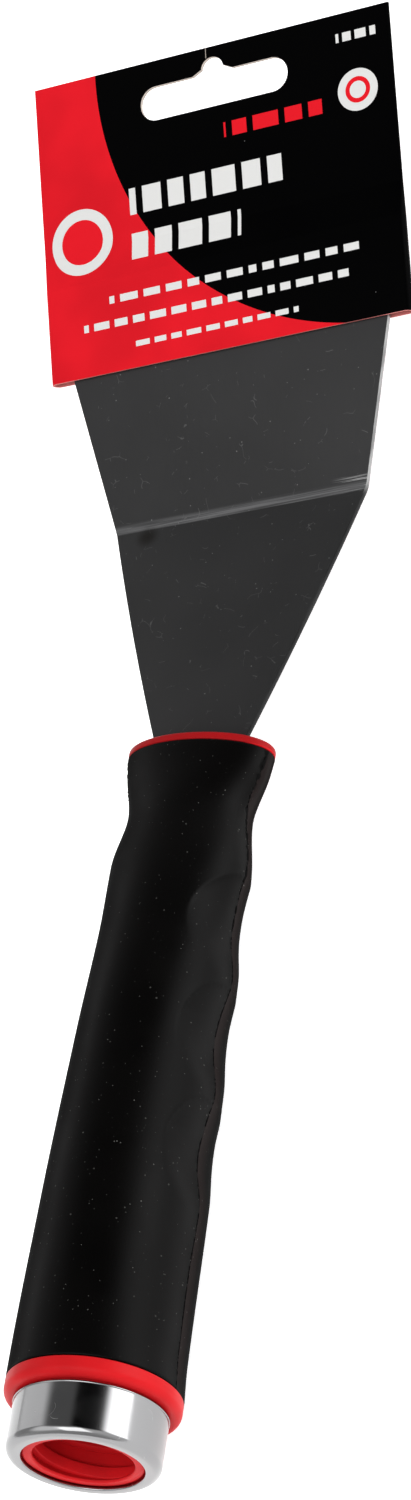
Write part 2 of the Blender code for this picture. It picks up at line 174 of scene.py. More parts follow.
class ScraperBlade(bpy.types.PropertyGroup):
    """Sizes of the bent blade"""

    thickness: length("Thickness", "Thickness of the sheet", 1.2, min=0.5)
    root_width: length("Root Width", "Width where the blade leaves the handle", 18, min=12)
    bend_width: length("Bend Width", "Width at the bend", 53.6, min=12)
    edge_width: length("Edge Width", "Width of the scraping edge", 76.2, min=12)
    bend_angle: bpy.props.FloatProperty(
        name="Bend Angle", description="How far the front part turns up", default=math.radians(25.4),
        min=0, max=1.2, subtype="ANGLE", unit="ROTATION")
    bend_radius: length("Bend Radius", "Radius of the bend at the sheet's middle", 4.5, min=1)
    front_length: length("Front Length", "Length from the bend to the scraping edge", 50.3, min=10)


class ScraperCard(bpy.types.PropertyGroup):
    """Sizes of the hang card"""

    board: length("Board", "Thickness of one sheet of the card", 0.4, 5, min=0.2)
    height: length("Height", "Height of the card along the blade", 61.1, min=20)
    overlap: length("Overlap", "How much of the blade the card covers", 18.4, min=5)
    slot_drop: length("Slot Drop", "Distance of the slot's middle from the card's top edge", 8.7, min=4)


def colour_setting(name, about, default):
    return bpy.props.FloatVectorProperty(
        name=name, description=about, default=default, size=3, min=0, max=1, subtype="COLOR")


class ScraperFinish(bpy.types.PropertyGroup):
    """Colours of the finishes"""

    grip: colour_setting("Grip", "Soft black overmould", (0.0003, 0.0002, 0.00015))
    plastic: colour_setting("Plastic", "Red moulding", (0.50, 0.009, 0.012))
    steel: colour_setting("Steel", "Dark spring steel", (0.023, 0.023, 0.0235))
    cut_steel: colour_setting("Cut Steel", "Sheared and ground edges of the blade", (0.3, 0.3, 0.3))
    chrome: colour_setting("Chrome", "Plated butt cap", (0.25, 0.25, 0.254))
    card_red: colour_setting("Card Red", "Red print", (0.64, 0.010, 0.018))
    card_black: colour_setting("Card Black", "Black print", (0.0004, 0.0004, 0.0005))
    card_white: colour_setting("Card White", "Bare white print", (0.62, 0.62, 0.61))
    card_core: colour_setting("Card Core", "Grey board at the card's cut edges", (0.42, 0.37, 0.33))


class ScraperStage(bpy.types.PropertyGroup):
    """Camera, floor and light"""

    camera_place: bpy.props.FloatVectorProperty(
        name="Camera Place", description="Where the camera stands", size=3,
        default=(304.2 * MM, -263.1 * MM, 488.4 * MM), subtype="XYZ", unit="LENGTH", precision=4)
    camera_turn: bpy.props.FloatVectorProperty(
        name="Camera Turn", description="The camera's turn about X, Y and Z", size=3,
        default=(math.radians(36.7008), math.radians(26.5166), math.radians(8.8315)),
        subtype="EULER", unit="ROTATION")
    lens: bpy.props.FloatProperty(
        name="Lens", description="Focal length in millimetres on a 36 mm sensor", default=89.49, min=10)
    room_light: bpy.props.FloatProperty(
        name="Room Light", description="Strength of the light from all round", default=1.18, min=0)
    key_light: bpy.props.FloatProperty(
        name="Key Light", description="Power of the large soft lamp, in watts", default=28, min=0)


def handle():
    return bpy.context.scene.scraper_handle


def blade():
    return bpy.context.scene.scraper_blade


def card():
    return bpy.context.scene.scraper_card


def finish():
    return bpy.context.scene.scraper_finish


def stage():
    return bpy.context.scene.scraper_stage


# Nodes


def math_step(operation, swapped=False):
    """A step of arithmetic that adds a Math node."""
    def result(self, *others):
        values = (*others, self) if swapped else (self, *others)
        return add_node(self.tree, "ShaderNodeMath", enumerate(values), operation=operation)[0]
    return result


class Flow:
    """A node's output. Arithmetic with it adds Math nodes."""

    def __init__(self, socket):
        self.socket, self.tree = socket, socket.id_data

    __add__, __sub__, __mul__, __truediv__ = map(math_step, ("ADD", "SUBTRACT", "MULTIPLY", "DIVIDE"))
    __rsub__, __rtruediv__ = math_step("SUBTRACT", True), math_step("DIVIDE", True)
    __lt__, __gt__, __abs__ = map(math_step, ("LESS_THAN", "GREATER_THAN", "ABSOLUTE"))
    larger, smaller, cosine, near = map(math_step, ("MAXIMUM", "MINIMUM", "COSINE", "COMPARE"))

    def ramp(self, low, high, to_low=0.0, to_high=1.0):
        """A smooth step from one range to another."""
        inputs = {0: self, 1: low, 2: high, 3: to_low, 4: to_high}
        return add_node(self.tree, "ShaderNodeMapRange", inputs, interpolation_type="SMOOTHSTEP")[0]


def outputs_of(node):
    """A node's outputs by name and by number."""
    flows = [Flow(socket) for socket in node.outputs]
    return {**{flow.socket.name: flow for flow in reversed(flows)}, **dict(enumerate(flows))}


def feed(node, inputs):
    """Gives a node's inputs, by name or number, their values or the flows that feed them."""
    for key, value in dict(inputs).items():
        if isinstance(value, Flow):
            node.id_data.links.new(value.socket, node.inputs[key])
        else:
            node.inputs[key].default_value = value


def add_node(tree, kind, inputs=(), **settings):
    """Adds a node and gives its outputs."""
    node = tree.nodes.new(kind)
    for setting, value in settings.items():
        setattr(node, setting, value)
    feed(node, inputs)
    return outputs_of(node)


def rgb(colour, shade=1.0):
    return (*(part * shade for part in colour), 1.0)


def grey(shade):
    return (shade, shade, shade, 1.0)


def blend(share, first, second):
    """A colour between two others."""
    return add_node(share.tree, "ShaderNodeMix", {0: share, 6: first, 7: second}, data_type="RGBA")[2]


def mottle(share, colour, high, low=1.0):
    """One colour in two shades."""
    return blend(share, rgb(colour, low), rgb(colour, high))


def axes(place):
    parts = add_node(place.tree, "ShaderNodeSeparateXYZ", {0: place})
    return parts[0], parts[1], parts[2]


def scaled(place, scale):
    return add_node(place.tree, "ShaderNodeMapping", {"Vector": place, "Scale": scale})[0]


def noise(place, scale, detail=2.0):
    return add_node(place.tree, "ShaderNodeTexNoise", {"Vector": place, "Scale": scale, "Detail": detail})


def vector_math(operation, first, *others):
    return add_node(first.tree, "ShaderNodeVectorMath", enumerate((first, *others)), operation=operation)


def add_sockets(tree, direction, kinds):
    """Names a tree's inputs or outputs. Each is given as a default value or as a kind of socket."""
    for label, default in kinds.items():
        kind = {float: "Float", int: "Int"}.get(type(default), default)
        socket = tree.interface.new_socket(label, in_out=direction, socket_type=f"NodeSocket{kind}")
        if kind != default:
            socket.default_value = default


def start_tree(name, kind, inputs, outputs):
    """A node group with named sockets. Gives the tree, its inputs and the node that ends it."""
    tree = bpy.data.node_groups.new(name, kind)
    add_sockets(tree, "INPUT", inputs)
    add_sockets(tree, "OUTPUT", outputs)
    return tree, outputs_of(tree.nodes.new("NodeGroupInput")), tree.nodes.new("NodeGroupOutput")


def start_group(name, sizes, *results):
    """A group for materials, with a place and sizes in millimetres."""
    return start_tree(
        name, "ShaderNodeTree", {"Place": "Vector", **sizes}, {result: "Float" for result in results})


def titled(values):
    """Values by the names that a tree's sockets have."""
    return {key.replace("_", " ").title(): value for key, value in values.items()}


def use_group(name, place, **sizes):
    """Places a group in a material and gives its outputs."""
    return add_node(place.tree, "ShaderNodeGroup", {"Place": place, **titled(sizes)},
                    node_tree=bpy.data.node_groups[name])


def grain_of(place, grain_size, patch_size):
    """The grain's height, and the slow unevenness under it."""
    parts = use_group("grain", place, grain_size=grain_size, patch_size=patch_size)
    return parts["Height"], parts["Patch"]


def make_grain_group():
    """Fine moulded or rolled grain, with slow unevenness under it."""
    _, given, end = start_group("grain", {"Grain Size": 0.3, "Patch Size": 12.0}, "Height", "Patch")
    fine = noise(given["Place"], 1.0 / given["Grain Size"], 3.0)[0]
    slow = noise(given["Place"], 1.0 / given["Patch Size"])[0]
    feed(end, {"Height": fine, "Patch": slow.ramp(0.35, 0.65)})


def make_specks_group():
    """Scattered dust and small nicks. A larger amount gives more of them."""
    tree, given, end = start_group("specks", {"Spacing": 4.0, "Amount": 0.3, "Speck Size": 0.12}, "Mask")
    place, spacing = given["Place"], given["Spacing"]
    cell = add_node(tree, "ShaderNodeTexVoronoi", {"Vector": place, "Scale": 1.0 / spacing})
    parts = add_node(tree, "ShaderNodeSeparateColor", {"Color": cell["Color"]})
    size = given["Speck Size"] / spacing * (parts[1] + 0.3)
    feed(end, {"Mask": (parts[0] < given["Amount"]) * (cell["Distance"] < size)})


def make_scratches_group():
    """Fine curved scratches in loose clusters."""
    tree, given, end = start_group("scratches", {"Spacing": 6.0, "Width": 0.06, "Cover": 0.5}, "Mask")
    place, spacing = given["Place"], given["Spacing"]
    pushed = add_node(
        tree, "ShaderNodeVectorMath", {0: noise(place, 0.16, 1.0)[1], "Scale": 9.0}, operation="SCALE")[0]
    bent = vector_math("ADD", place, pushed)[0]
    line = add_node(tree, "ShaderNodeTexVoronoi", {"Vector": bent, "Scale": 1.0 / spacing},
                    feature="DISTANCE_TO_EDGE")[0]
    kept = noise(place, 0.35)[0] > 0.75 - given["Cover"] * 0.3
    feed(end, {"Mask": (line < given["Width"] / spacing) * kept})


def make_line_group():
    """One printed line: a bar broken into blocks by narrow gaps."""
    tree, given, end = start_group("printed_line", {
        "Middle Across": 0.0, "Half Length": 10.0, "Middle Up": 0.0, "Half Height": 1.0, "Block": 4.0,
        "Gap": 0.5}, "Mask")
    across, up, _ = axes(given["Place"])
    shifted = across + given["Middle Up"] * 7.3
    edge = add_node(tree, "ShaderNodeTexVoronoi", {
        "W": shifted, "Scale": 1.0 / given["Block"], "Randomness": 0.8},
        voronoi_dimensions="1D", feature="DISTANCE_TO_EDGE")[0]
    inside = across.near(given["Middle Across"], given["Half Length"]) * up.near(
        given["Middle Up"], given["Half Height"])
    feed(end, {"Mask": inside * (edge > given["Gap"] / (given["Block"] * 2.0))})


# Finishes. Their places are in millimetres, with the origin of the solids


BEND = (BEND_AT - RIM) / MM
COLLAR = (COLLAR_AT - RIM) / MM


def start_material(name, roughness, metallic=0.0, specular=0.5):
    """A material, and the place on its piece."""
    material = bpy.data.materials.new(name)
    material.use_nodes = True
    feed(material.node_tree.nodes["Principled BSDF"],
         {"Roughness": roughness, "Metallic": metallic, "Specular IOR Level": specular})
    where = add_node(material.node_tree, "ShaderNodeTexCoord")["Object"]
    return material, scaled(where, (1 / MM,) * 3)


def paint(material, colour, rough, height, depth, strength):
    """Gives a material its colour, its roughness and a bump of this depth in metres."""
    tree = material.node_tree
    bump = add_node(tree, "ShaderNodeBump", {"Height": height, "Distance": depth, "Strength": strength})
    feed(tree.nodes["Principled BSDF"], {"Base Color": colour, "Roughness": rough, "Normal": bump[0]})
    return material


def seam_place(along):
    """The parting line's height along the grip, as seam_lift has it."""
    pitch, sag = handle().scoop_pitch / MM, SEAM_SAG / MM / 2
    past_first = (FIRST_SCOOP - RIM) / MM - along
    scoops = add_node(along.tree, "ShaderNodeClamp", {0: past_first / pitch, 1: 0.0, 2: LAST_RIDGE})[0]
    sagging = ((scoops * math.tau).cosine() - 1.0) * sag
    level = past_first.ramp(LAST_RIDGE * pitch, LAST_RIDGE * pitch + 10, 0.0, sag)
    return along.ramp(COLLAR - 24, COLLAR - 7, 0.0, SEAM_LIFT / MM) + (sagging + level)


def make_grip_finish():
    """Soft black overmould: matte grain, rougher towards its outline, dust, a painted sheen strip, and a
    parting line painted dark as shade.
    """
    material, place = start_material("soft_black", 0.42, specular=0.055)
    grain, patch = grain_of(place, 0.22, 16.0)
    _, clusters = grain_of(place, 9.0, 5.0)
    dust = use_group("specks", place, spacing=2.1, amount=0.8, speck_size=0.14)[0]
    fine_dust = use_group("specks", place, spacing=0.9, amount=0.8, speck_size=0.09)[0]
    across, along, up = axes(place)
    wander = noise(place, 0.5)[0]
    above = up - (seam_place(along) + (wander - 0.5) * 0.5)
    width = handle().seam_width / MM
    wide = along.ramp(COLLAR - 42, COLLAR - 26, width, 2 * width)
    seam = (abs(above) / (wander.ramp(0.4, 0.56, 0.15, 1.5) * wide)).ramp(0.35, 1.0, 1.0, 0.0)
    # Painted sheen: a lighter brownish strip just below the parting line on the finger side.
    painted_sheen_strip = across.ramp(2.0, 6.0) * above.ramp(-5.0, -0.2) * (above < 0.0)
    colour = mottle(patch, finish().grip, 1.35)
    colour = blend(painted_sheen_strip * 0.5, colour, (0.012, 0.0065, 0.006, 1))
    # Painted shade: the parting line is painted darker, as shade in its groove.
    colour = blend(seam, colour, rgb(finish().grip, 0.3))
    specks = (dust * 0.24).larger(fine_dust * clusters.ramp(0.3, 0.9, 0.07, 0.6))
    colour = blend(specks, colour, (0.14, 0.14, 0.13, 1))
    facing = add_node(place.tree, "ShaderNodeLayerWeight", {"Blend": 0.5})["Facing"]
    rough = patch.ramp(0.0, 1.0, 0.37, 0.43) + seam * 0.3 + facing.ramp(0.35, 0.8, 0.0, 0.55)
    return paint(material, colour, rough, grain - seam * 4.0, 0.00002, 0.6)


def make_plastic_finish():
    """Semi-gloss red moulding with a faint orange-peel surface and a little dust, with painted shade on the
    collar.
    """
    material, place = start_material("red_moulding", 0.4, specular=0.06)
    grain, patch = grain_of(place, 0.7, 9.0)
    dust = use_group("specks", place, spacing=3.0, amount=0.12, speck_size=0.12)[0]
    colour = mottle(patch, finish().plastic, 0.88)
    # Painted shade: the collar is painted darker.
    colour = blend((axes(place)[1] > COLLAR - 1) * 0.4, colour, (0.03, 0.001, 0.001, 1))
    colour = blend(dust * 0.4, colour, (0.9, 0.6, 0.55, 1))
    rough = patch.ramp(0.0, 1.0, 0.36, 0.46)
    return paint(material, colour, rough, grain, 0.00001, 0.5)


def make_steel_finish():
    """Dark spring steel: rolled grain, small specks, a few scratches, and a painted highlight in streaks
    along the bend.
    """
    material, place = start_material("spring_steel_sheet", 0.42, 0.25, 0.1)
    grain, _ = grain_of(scaled(place, (1.0, 0.15, 0.15)), 0.5, 9.0)
    _, blotch = grain_of(place, 0.9, 30.0)
    nicks = use_group("specks", place, spacing=1.5, amount=0.5, speck_size=0.12)[0]
    marks = use_group("scratches", place, spacing=5.0, width=0.04, cover=0.5)[0]
    across, along, _ = axes(place)
    past_bend = along - BEND
    streaks = noise(scaled(place, (0.07, 3.4, 3.4)), 1.0, 3.0)[0]
    # Painted highlight: a bright streaked band along the bend, with brighter streaks at its right end.
    bend = past_bend.ramp(-1.05, -0.7) * past_bend.ramp(-0.1, 1.25, 1.0, 0.0)
    painted_bend_highlight = bend * streaks.ramp(0.3, 0.66, 0.25, 1.0)
    bend_end = across.ramp(19.0, 26.0) * abs(past_bend - 0.4).ramp(0.8, 2.4, 1.0, 0.0)
    painted_bend_end_highlight = bend_end * streaks.ramp(0.56, 0.62)
    smudge = vector_math("DISTANCE", place, (-19.5, BEND - 2.6, 0.0))["Value"].ramp(0.6, 3.2, 1.0, 0.0)
    flaws = (nicks * 0.4).larger(marks * 0.18)
    steel = finish().steel
    colour = mottle(blotch, steel, 1.12)
    colour = blend(painted_bend_highlight * 0.6, colour, rgb(steel, 8))
    colour = blend(painted_bend_end_highlight * 0.8, colour, grey(0.32))
    colour = blend(smudge * 0.8, colour, (0.006, 0.005, 0.004, 1))
    colour = blend(flaws, colour, grey(0.22))
    rough = grain.ramp(0.3, 0.7, 0.38, 0.46)
    return paint(material, colour, rough, grain + marks * -1.5, 0.000005, 0.4)


def make_cut_steel_finish():
    """Sheared and ground steel: bright on the front part, painted darker below the bend as shade."""
    material, place = start_material("cut_steel", 0.34, 1.0)
    grain, patch = grain_of(scaled(place, (1.4, 0.2, 2.2)), 0.2, 5.0)
    bright = mottle(patch, finish().cut_steel, 0.6)
    dark = mottle(patch, finish().steel, 0.7, 0.4)
    # Painted shade: below the bend the sides take the dark steel's colour.
    colour = blend(axes(place)[1].ramp(BEND - 2.0, BEND + 1.0), dark, bright)
    rough = grain.ramp(0.3, 0.7, 0.28, 0.44)
    return paint(material, colour, rough, grain, 0.000008, 0.6)


def make_chrome_finish():
    """Bright plating with faint waves, smears and hairline scratches."""
    material, place = start_material("bright_chrome", 0.15, 1.0)
    grain, patch = grain_of(place, 2.6, 6.0)
    marks = use_group("scratches", place, spacing=3.5, width=0.025, cover=0.4)[0]
    nicks = use_group("specks", place, spacing=2.2, amount=0.15, speck_size=0.1)[0]
    flaws = nicks.larger(marks)
    colour = blend(flaws * 0.5, rgb(finish().chrome), grey(0.5))
    rough = patch.ramp(0.0, 1.0, 0.13, 0.18) + flaws * 0.2
    return paint(material, colour, rough, grain, 0.00002, 0.05)


def lines_mask(place, lines):
    """All the printed lines of a table as one mask."""
    names = ("middle_across", "half_length", "middle_up", "half_height", "block", "gap")
    first, *others = [use_group("printed_line", place, **dict(zip(names, line)))[0] for line in lines]
    for other in others:
        first = first.larger(other)
    return first


def disc_mask(place, centre, radius):
    """A round spot on the card."""
    flat = vector_math("MULTIPLY", vector_math("SUBTRACT", place, (*centre, 0.0))[0], (1.0, 1.0, 0.0))[0]
    return vector_math("LENGTH", flat)["Value"] < radius


def make_print_finish():
    """The card's print: red with a large black disc in one corner, and plain bars, a ring and a spot."""
    material, place = start_material("card_print", 0.4, specular=0.01)
    flat = add_node(place.tree, "ShaderNodeMapping", {
        "Vector": place, "Location": (0, BEND, 0), "Rotation": (blade().bend_angle, 0, 0)},
        vector_type="TEXTURE")[0]
    grain, patch = grain_of(flat, 0.5, 18.0)
    dust = use_group("specks", flat, spacing=3.2, amount=0.1, speck_size=0.1)[0]
    red, black, white = (rgb(c) for c in (finish().card_red, finish().card_black, finish().card_white))
    colour = mottle(patch, finish().card_red, 0.86)
    colour = blend(disc_mask(flat, (36.0, 92.0), 61.0), colour, black)
    for lines, ink in ((RED_LINES, red), (WHITE_LINES, white), (TEAR, rgb(finish().card_core))):
        colour = blend(lines_mask(flat, lines), colour, ink)
    for x, y, radius, ink in ((31.3, 77.2, 4.2, white), (31.3, 77.2, 2.6, red), (31.3, 77.2, 1.7, white),
                              (-30.2, 59.6, 6.8, white), (-30.2, 59.6, 4.6, red)):
        colour = blend(disc_mask(flat, (x, y), radius), colour, ink)
    colour = blend(dust * 0.25, colour, white)
    rough = patch.ramp(0.0, 1.0, 0.34, 0.44)
    return paint(material, colour, rough, grain, 0.000012, 0.5)


def make_board_finish():
    """Bare grey board with short fibres, for the card's cut edges and inside, reddened at its mouth."""
    material, place = start_material("bare_board", 0.85)
    grain, patch = grain_of(place, 0.16, 3.0)
    colour = mottle(grain, finish().card_core, 1.35, 0.75)
    mouth = BEND + (blade().front_length - card().overlap) * math.cos(blade().bend_angle) / MM
    reddened = axes(place)[1].ramp(mouth + 1, mouth + 4, 1.0, 0.0)
    colour = blend(reddened * 0.6, colour, rgb(finish().card_red))
    rough = patch.ramp(0.0, 1.0, 0.8, 0.92)
    return paint(material, colour, rough, grain, 0.00005, 0.7)


# Shapes


def smooth_value(stations, place):
    """A cubic through (place, value) stations that never overshoots, level beyond both ends."""
    places, values = zip(*stations)
    if place <= places[0]:
        return values[0]
    if place >= places[-1]:
        return values[-1]
    steps = [b - a for a, b in zip(places, places[1:])]
    slopes = [(b - a) / step for a, b, step in zip(values, values[1:], steps)]
    tangents = [slopes[0]]
    for before, after in zip(slopes, slopes[1:]):
        tangents.append(0.0 if before * after <= 0 else 2 * before * after / (before + after))
    tangents.append(slopes[-1])
    k = max(i for i in range(len(steps)) if places[i] <= place)
    t = (place - places[k]) / steps[k]
    rise = values[k] + (values[k + 1] - values[k]) * t * t * (3 - 2 * t)
    lean = tangents[k] * t * (1 - t) ** 2 - tangents[k + 1] * t * t * (1 - t)
    return rise + steps[k] * lean


def spread(start, end, count):
    return [start + (end - start) * k / count for k in range(count + 1)]


def arc(centre, radius, start, end, count, height=None):
    """Points of an arc, as (out, along) pairs. Its ends are given in half turns."""
    height = height or radius
    turns = spread(start * math.pi, end * math.pi, count)
    return [(centre[0] + radius * math.cos(t), centre[1] + height * math.sin(t)) for t in turns]


def quarter(out, along, radius, start, count, height=None):
    """An arc of a quarter turn."""
    return arc((out, along), radius, start, start + 0.5, count, height)


def grip_size(along):
    """Palm side, finger side and thickness of the grip's oval."""
    at = along / MM
    return [MM * smooth_value([(row[0], row[side]) for row in GRIP_STATIONS], at) for side in (1, 2, 3)]


def scoop_depth(along, height):
    """How deep the scoops lie at a place on the grip's finger side, this high above its middle plane."""
    turn = height / (SCOOP_ABOVE if height > 0 else SCOOP_BELOW)
    depth = 0.0
    for number in range(3):
        centre = FIRST_SCOOP - number * handle().scoop_pitch
        forward = (along + height * SCOOP_LEAN - centre) / (handle().scoop_length / 2)
        reach = 1 - forward**2 - abs(turn) ** 2.5
        if reach > 0:
            softness = smooth_value(((-0.7, 2.0), (0.4, 0.55)), forward)
            softness += smooth_value(((-6 * MM, 0.6), (0, 0)), height)
            depth = max(depth, handle().scoop_depth * reach**softness)
    return depth


def seam_lift(along):
    """Height of the grip's parting line above the middle plane."""
    pitch = handle().scoop_pitch
    flare = smooth_value(((COLLAR_AT - 24 * MM, 0), (COLLAR_AT - 7 * MM, SEAM_LIFT)), along)
    scoops_past = min(max((FIRST_SCOOP - along) / pitch, 0), LAST_RIDGE)
    sag = (math.cos(math.tau * scoops_past) - 1) * SEAM_SAG / 2
    last_ridge = FIRST_SCOOP - LAST_RIDGE * pitch
    return flare + sag + smooth_value(((last_ridge - 10 * MM, SEAM_SAG / 2), (last_ridge, 0)), along)


def slant(along):
    """How far a ring leans back towards the finger side: square at the neck, full at the front."""
    return smooth_value(((COLLAR_AT - 14 * MM, 0), (COLLAR_AT - 0.8 * MM, math.tan(COLLAR_SLANT))), along)


def oval(along, sizes, sides, scooped=False):
    """A ring across the handle: half an ellipse on each side of the middle plane."""
    palm, finger, thick = sizes
    lean = slant(along)
    ring = []
    for i in range(sides):
        angle = math.tau * i / sides
        side = finger if math.cos(angle) > 0 else palm
        x, z = side * math.cos(angle), thick * math.sin(angle)
        shrink = 1 - scoop_depth(along, z) / math.hypot(x, z) if scooped and x > 0 else 1
        ring.append((x * shrink, along - RIM - lean * x * shrink, z * shrink))
    return ring


def ovals(profile, sides, sizes=None):
    """Rings across the handle for (out, along) pairs, measured out from the grip's oval or given sizes."""
    return [oval(along, [size + out for size in sizes or grip_size(along)], sides) for out, along in profile]


def circle(along, radius, sides):
    turns = spread(0, math.tau, sides)[:-1]
    return [(radius * math.cos(t), along - RIM, radius * math.sin(t)) for t in turns]


def circles(profile, sides):
    return [circle(along, out, sides) for out, along in profile]


def add_object(name, points, edges, faces):
    data = bpy.data.meshes.new(name)
    data.from_pydata(points, edges, faces)
    piece = bpy.data.objects.new(name, data)
    bpy.context.scene.collection.objects.link(piece)
    return piece


def skin(name, rings, *materials, joined=False, sharp=35):
    """Skins a row of rings. The row's ends are capped, or joined to each other."""
    count, rows = len(rings[0]), len(rings)
    faces = []
    for row in range(rows if joined else rows - 1):
        low, high = row * count, (row + 1) % rows * count
        for i in range(count):
            j = (i + 1) % count
            faces.append((low + i, low + j, high + j, high + i))
    if not joined:
        faces += [tuple(range(count)), tuple(range((rows - 1) * count, rows * count))]
    piece = add_object(name, [point for ring in rings for point in ring], [], faces)
    for material in materials:
        piece.data.materials.append(material)
    settle(piece, sharp)
    return piece


def settle(piece, sharp=35):
    """Turns a piece's faces outwards and smooths its shading up to an angle."""
    mesh = bmesh.new()
    mesh.from_mesh(piece.data)
    bmesh.ops.remove_doubles(mesh, verts=mesh.verts, dist=1e-7)
    bmesh.ops.recalc_face_normals(mesh, faces=mesh.faces)
    mesh.to_mesh(piece.data)
    mesh.free()
    piece.data.shade_smooth()
    piece.data.set_sharp_from_angle(angle=math.radians(sharp))


def cut(piece, *cutters):
    """Takes other shapes out of a piece and deletes them."""
    for cutter in cutters:
        modifier = piece.modifiers.new(cutter.name, "BOOLEAN")
        modifier.operation = "DIFFERENCE"
        modifier.solver = "EXACT"
        modifier.material_mode = "TRANSFER"
        modifier.object = cutter
    apply_modifiers(piece)
    for cutter in cutters:
        bpy.data.objects.remove(cutter, do_unlink=True)


def apply_modifiers(piece):
    """Replaces a piece's mesh by its finished one."""
    bpy.context.view_layer.update()
    seen = piece.evaluated_get(bpy.context.evaluated_depsgraph_get())
    data = bpy.data.meshes.new_from_object(seen)
    piece.modifiers.clear()
    piece.data = data


def place_piece(piece, body, slot, *nodes):
    """Ties a finished piece to its body and hides the solids that it stands for. The slot it is given is not
    used.
    """
    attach(piece, body)
    if nodes:
        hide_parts(*nodes)
    return {"FINISHED"}


# Blade


def blade_place(x, along, lift):
    """The point at a place on the flat blade and a height above it, once the blade is bent."""
    radius, angle = blade().bend_radius, blade().bend_angle
    start = BEND_AT - radius * math.tan(angle / 2)
    turned = min(max((along - start) / radius, 0), angle)
    past = max(along - start - radius * angle, 0)
    forward, up = math.cos(turned), math.sin(turned)
    y = min(along, start) + radius * up + past * forward
    z = radius * (1 - forward) + past * up
    return (x, y - lift * up - RIM, z + lift * forward)


def blade_marks():
    """Places on the flat blade: bend's start, its end, and the scraping edge."""
    radius, angle = blade().bend_radius, blade().bend_angle
    tangent = radius * math.tan(angle / 2)
    start = BEND_AT - tangent
    end = start + radius * angle
    return start, end, end + blade().front_length - tangent


def blade_half_width(along):
    """Half the blade's width at a place on the flat blade, from the tang to the edge."""
    start, end, edge = blade_marks()
    middle = (start + end) / 2
    root, bend, front = blade().root_width / 2, blade().bend_width / 2, blade().edge_width / 2
    if along <= TANG_SHOULDER:
        share = min(max((along - TANG_SHOULDER + TANG_SLOPE) / TANG_SLOPE, 0), 1)
        return TANG_HALF_WIDTH + (root - TANG_HALF_WIDTH) * share
    if along <= middle:
        share = max(along - HANDLE_END, 0) / (middle - HANDLE_END)
        return root + (bend - root) * share + 2 * MM * share * (1 - share)
    return bend + (front - bend) * (along - middle) / (edge - middle)


def plate_ring(along, half_width, half, edge_round=0.15 * MM):
    """A ring across the blade: a thin rectangle with rounded corners."""
    ring = []
    for across, over, start in ((1, -1, -0.5), (1, 1, 0), (-1, 1, 0.5), (-1, -1, 1)):
        corner = (across * (half_width - edge_round), over * (half - edge_round))
        ring += [blade_place(x, along, lift) for x, lift in quarter(*corner, edge_round, start, 3)]
    return ring


def tang_pins(radius, half_height):
    """Upright round bars at the tang's two holes."""
    pins = []
    for hole in TANG_HOLES:
        rings = [[(x, hole - RIM + y, z) for x, _, y in circle(0, radius, 48)]
                 for z in (-half_height, half_height)]
        pins.append(skin("pin", rings))
    return pins


class SCRAPER_OT_blade(bpy.types.Operator):
    """Build the bent blade with its tang"""

    bl_idname = "scraper.blade"
    bl_label = "Build Blade"

    def execute(self, context):
        half = blade().thickness / 2
        start, end, edge = blade_marks()
        tip = quarter(TANG_HALF_WIDTH - TANG_CORNER, TANG_TIP + TANG_CORNER, TANG_CORNER, 1.5, 10)
        rings = [plate_ring(along, half_width, half) for half_width, along in tip]
        places = [TANG_SHOULDER - TANG_SLOPE, TANG_SHOULDER]
        places += spread(HANDLE_END, start, 24)[:-1] + spread(start, end, 20)
        places += spread(end, edge - GROUND, 8)[1:]
        stations = [(place, half) for place in places] + [(edge - off, thin) for off, thin in EDGE_STEPS]
        rings += [plate_ring(place, blade_half_width(place), thick) for place, thick in stations]
        piece = skin("blade_sheet", rings, make_steel_finish(), make_cut_steel_finish(), sharp=20)
        self.mark_cut_edges(piece, edge)
        cut(piece, *tang_pins(TANG_HOLE_RADIUS, half + 1 * MM))
        settle(piece, 20)
        return place_piece(piece, "scraper", "spring_steel", "blade")

    def mark_cut_edges(self, piece, edge):
        """Gives the sheared sides and the ground front their brighter finish."""
        ground = blade_place(0, edge - GROUND + 0.1 * MM, 0)[1]
        for face in piece.data.polygons:
            if abs(face.normal.x) > 0.6 or face.center.y > ground:
                face.material_index = 1


# Handle


